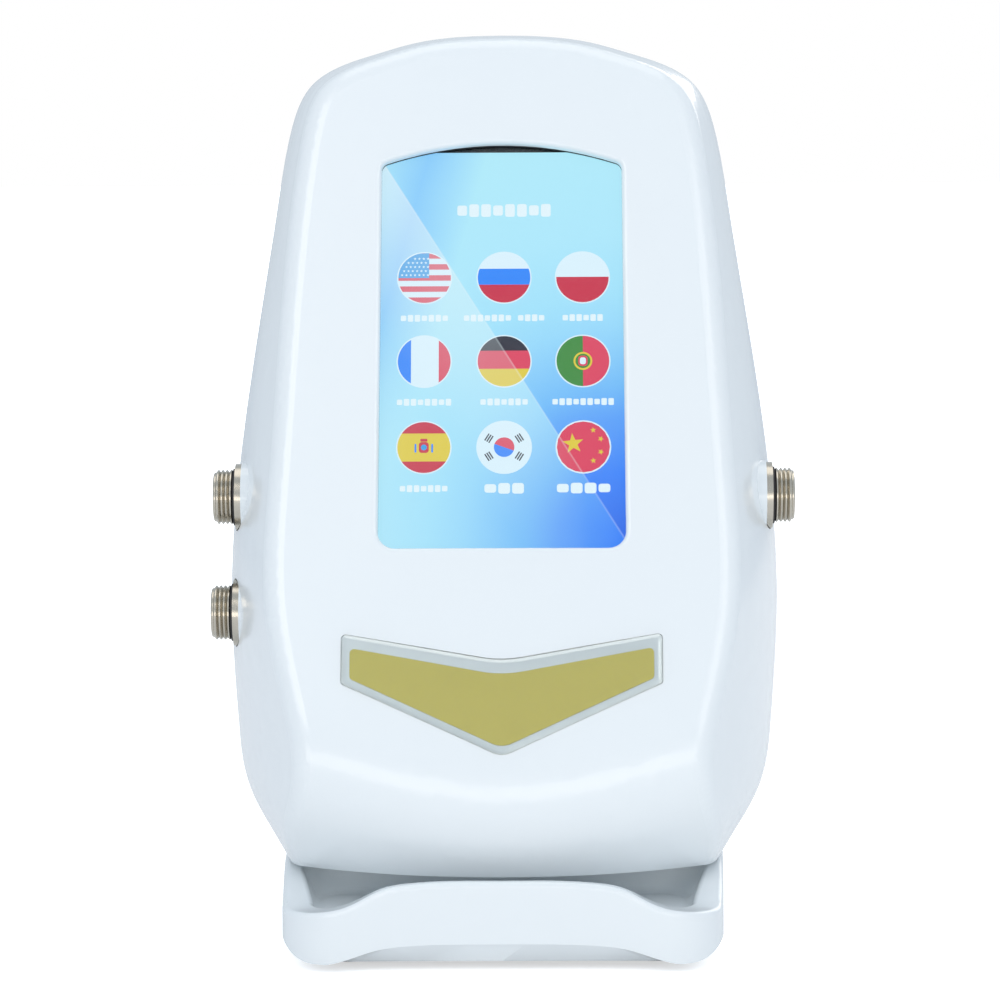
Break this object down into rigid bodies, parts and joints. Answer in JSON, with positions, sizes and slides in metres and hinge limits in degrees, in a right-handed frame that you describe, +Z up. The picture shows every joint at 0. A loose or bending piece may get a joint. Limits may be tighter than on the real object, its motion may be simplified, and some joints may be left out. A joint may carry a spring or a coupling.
{
  "type": "cavitation slimming machine",
  "caption": "Tabletop beauty machine with a leaning touch screen, a gold badge, threaded handpiece sockets, a fan-cooled casing and an arched foot.",
  "frame": {"origin": "middle of the footprint at table level", "axes": "+Z up, the screen faces -Y, +X to the right as seen from the front"},
  "size_m": [0.1564, 0.158, 0.2395],
  "materials": {
    "white_gloss": "high gloss",
    "black_moulding": "fine spark texture",
    "rubber_black": "matt",
    "nickel": "nickel plate",
    "insulator": "moulded",
    "contact_gold": "gold flash",
    "touch_glass": "polished",
    "display": "lit screen",
    "circuit_board": "solder mask",
    "chip_black": "moulded",
    "connector_white": "moulded",
    "screw_steel": "zinc plate",
    "standoff_brass": "turned",
    "badge_silver": "bright foil",
    "badge_gold": "satin print",
    "badge_clear": "clear cast",
    "plate_grey": "satin",
    "ferrite": "sintered",
    "winding": "tape wrapped",
    "heat_sink": "extruded",
    "capacitor": "sleeved",
    "fuse_glass": "glass with nickel caps"
  },
  "bodies": {
    "machine": {"badge_dome": "badge_clear", "badge_foil": "badge_silver", "badge_plate": "badge_gold", "base_shell": "white_gloss", "board_terminals": "connector_white", "bottom_plate": "plate_grey", "bottom_plate_screws": "screw_steel", "buzzer": "chip_black", "casing_screws": "screw_steel", "deck_screws": "screw_steel", "display_board": "circuit_board", "display_chips": "chip_black", "display_panel": "display", "display_screws": "screw_steel", "driver_board": "circuit_board", "driver_board_nuts": "screw_steel", "driver_heat_sink": "heat_sink", "driver_relays": "chip_black", "fan_frame": "black_moulding", "fan_nuts": "screw_steel", "fan_screws": "screw_steel", "front_casing": "white_gloss", "inlet_blades": "standoff_brass", "inlet_housing": "black_moulding", "inlet_screws": "screw_steel", "left_lower_socket_contacts": "contact_gold", "left_lower_socket_insulator": "insulator", "left_lower_socket_nut": "nickel", "left_lower_socket_seal": "rubber_black", "left_lower_socket_shell": "nickel", "left_upper_socket_contacts": "contact_gold", "left_upper_socket_insulator": "insulator", "left_upper_socket_nut": "nickel", "left_upper_socket_seal": "rubber_black", "left_upper_socket_shell": "nickel", "long_standoffs": "standoff_brass", "output_transformer_core": "ferrite", "output_transformer_winding": "winding", "power_board": "circuit_board", "power_capacitors": "capacitor", "power_heat_sink": "heat_sink", "power_transformer_core": "ferrite", "power_transformer_winding": "winding", "rear_casing": "white_gloss", "ribbon_socket": "connector_white", "right_socket_contacts": "contact_gold", "right_socket_insulator": "insulator", "right_socket_nut": "nickel", "right_socket_seal": "rubber_black", "right_socket_shell": "nickel", "rubber_feet": "rubber_black", "screen_gasket": "rubber_black", "short_standoffs": "standoff_brass", "touch_glass": "touch_glass"},
    "fan": {"fan_rotor": "black_moulding"},
    "rocker": {"power_rocker": "black_moulding"},
    "drawer": {"fuse_drawer": "black_moulding", "fuse": "fuse_glass"}
  },
  "joints": [
    {"name": "fan_spin", "type": "hinge", "parent": "machine", "child": "fan", "pos_m": [0, 0.0562, 0.13335], "axis": [0, 0.9939, 0.1099], "continuous": true},
    {"name": "rocker_tilt", "type": "hinge", "parent": "machine", "child": "rocker", "pos_m": [0, 0.06452, 0.08275], "axis": [0, -0.1099, 0.9939], "range_deg": [0, 18]},
    {"name": "drawer_slide", "type": "slide", "parent": "machine", "child": "drawer", "axis": [0, 0.9939, 0.1099], "range_m": [0, 0.012]}
  ]
}
